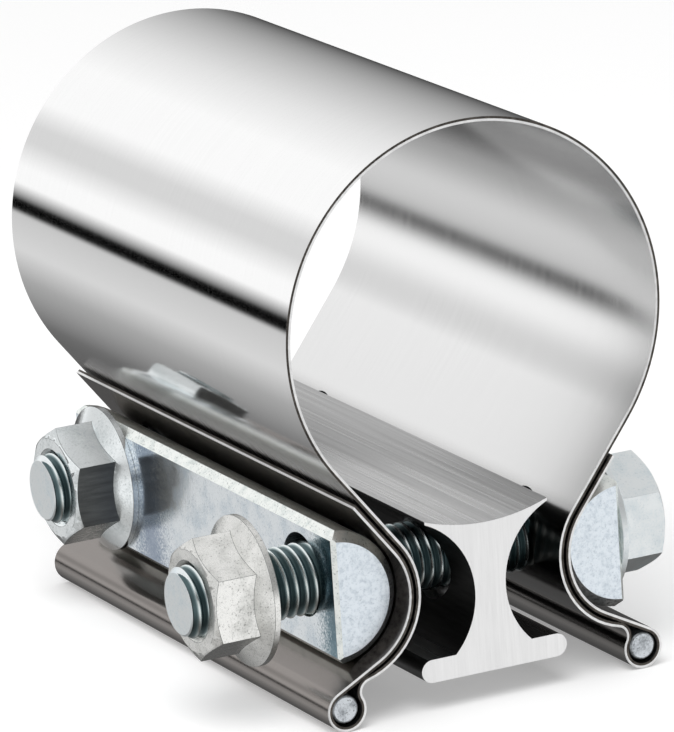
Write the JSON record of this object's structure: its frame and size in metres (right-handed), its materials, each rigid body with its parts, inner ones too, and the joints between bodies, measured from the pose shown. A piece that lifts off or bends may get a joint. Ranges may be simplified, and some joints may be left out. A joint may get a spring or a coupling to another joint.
{
  "type": "butt joint exhaust clamp",
  "caption": "Polished band clamp that joins exhaust pipe ends butt to butt, with folded ears wrapped round half-round bars on pins, a grooved spacer block, and flange bolts and nuts.",
  "frame": {"origin": "centre of the pipe bore, half way along the band", "axes": "+Y along the pipe, away from the end that shows the section; +X towards the bolt heads, away from the nuts; +Z from the bolts up to the top of the ring"},
  "size_m": [0.0949, 0.106, 0.0971],
  "materials": {
    "polished_band": "mirror polished stainless sheet",
    "zinc_bars": "bright zinc plate, faintly mottled",
    "steel_pins": "bare drawn steel",
    "brushed_spacer": "extruded aluminium, ends sawn and brushed",
    "zinc_bolts": "bright zinc plate",
    "zinc_nuts": "bright zinc plate, slightly warm"
  },
  "bodies": {
    "left_side": {"band": "polished_band", "left_bar": "zinc_bars", "left_pin": "steel_pins"},
    "right_side": {"right_bar": "zinc_bars", "right_pin": "steel_pins"},
    "spacer": {"spacer_block": "brushed_spacer"},
    "front_bolt": {"front_bolt": "zinc_bolts"},
    "rear_bolt": {"rear_bolt": "zinc_bolts"},
    "front_nut": {"front_nut": "zinc_nuts"},
    "rear_nut": {"rear_nut": "zinc_nuts"}
  },
  "joints": [
    {"name": "clamp_close", "type": "slide", "parent": "left_side", "child": "right_side", "axis": [-1, 0, 0], "range_m": [0, 0.004], "stiffness_N_per_m": 2600, "deforming": ["band"]},
    {"name": "spacer_follow", "type": "slide", "parent": "left_side", "child": "spacer", "axis": [-1, 0, 0], "range_m": [0, 0.002]},
    {"name": "front_bolt_turn", "type": "hinge", "parent": "right_side", "child": "front_bolt", "pos_m": [0.0263, -0.0375, -0.04135], "axis": [-1, 0, 0], "range_deg": [-450, 1970]},
    {"name": "front_nut_travel", "type": "slide", "parent": "right_side", "child": "front_nut", "axis": [1, 0, 0], "range_m": [-0.0022, 0.0096]},
    {"name": "rear_nut_turn", "type": "hinge", "parent": "left_side", "child": "rear_nut", "pos_m": [-0.0263, 0.0375, -0.04135], "axis": [1, 0, 0], "range_deg": [-455, 1980]},
    {"name": "rear_bolt_draw", "type": "slide", "parent": "left_side", "child": "rear_bolt", "axis": [-1, 0, 0], "range_m": [-0.0022, 0.0096]}
  ],
  "couplings": [
    {"joint": "spacer_follow", "follows": "clamp_close", "ratio": 0.5},
    {"joint": "front_nut_travel", "follows": "front_bolt_turn", "m_per_rad": 0.00027852},
    {"joint": "rear_nut_turn", "follows": "rear_bolt_draw", "rad_per_m": 3590.4}
  ]
}
